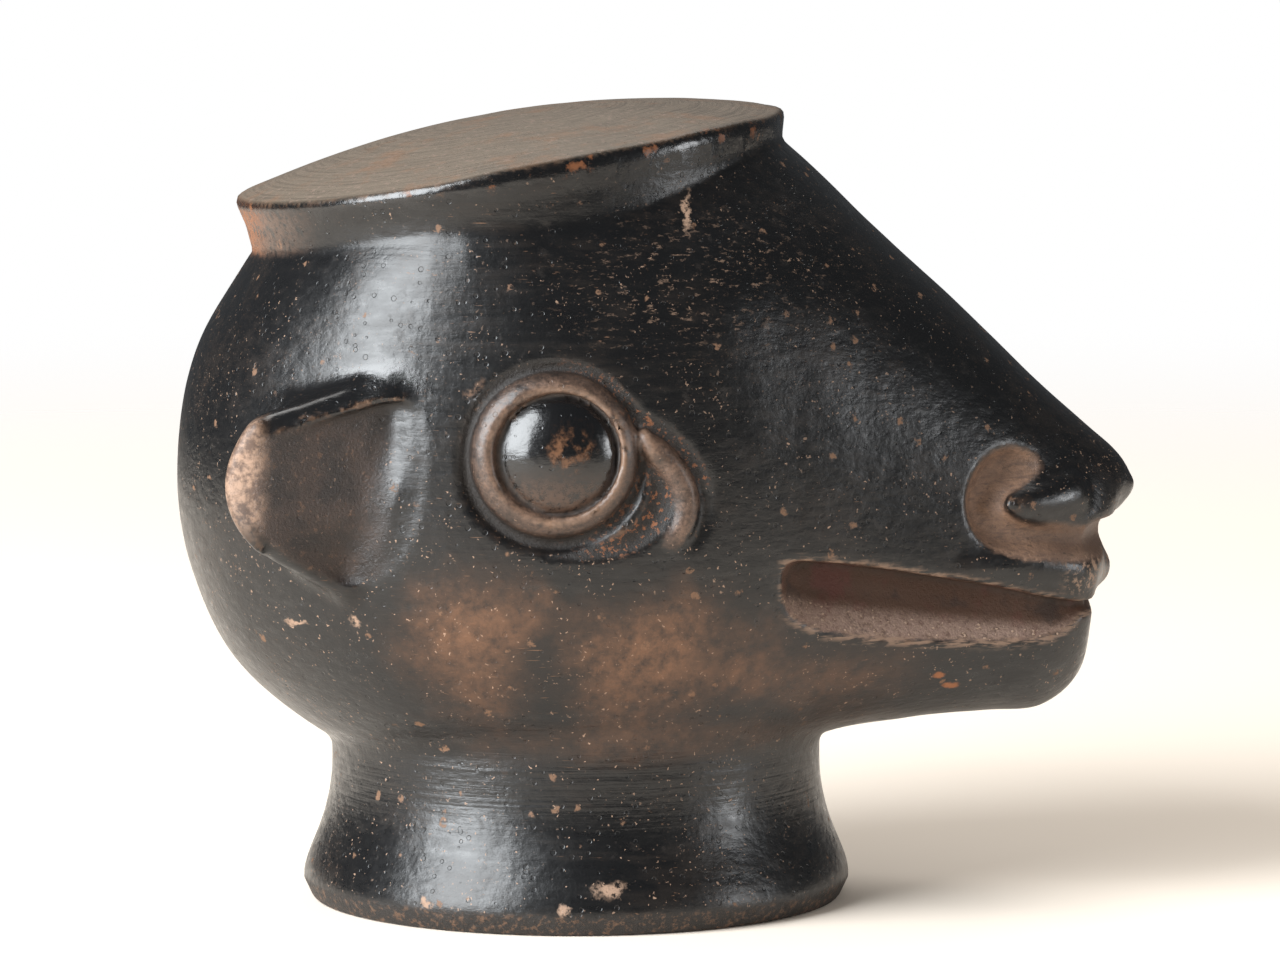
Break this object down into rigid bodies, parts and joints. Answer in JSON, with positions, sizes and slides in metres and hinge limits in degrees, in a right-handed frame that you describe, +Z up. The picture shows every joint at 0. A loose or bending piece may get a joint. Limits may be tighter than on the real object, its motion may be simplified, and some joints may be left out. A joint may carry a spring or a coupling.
{
  "type": "zoomorphic jar",
  "caption": "Hollow black burnished clay jar in the form of an animal head, snout forward, standing on its flared round mouth.",
  "frame": {"origin": "below the middle of the jar, on the surface that it stands on", "axes": "+X toward the snout, +Y toward the animal's left side, +Z up"},
  "size_m": [0.2508, 0.1766, 0.2088],
  "materials": {
    "clay": "burnished"
  },
  "bodies": {
    "root": {"zoomorphic_jar": "clay"}
  },
  "joints": []
}
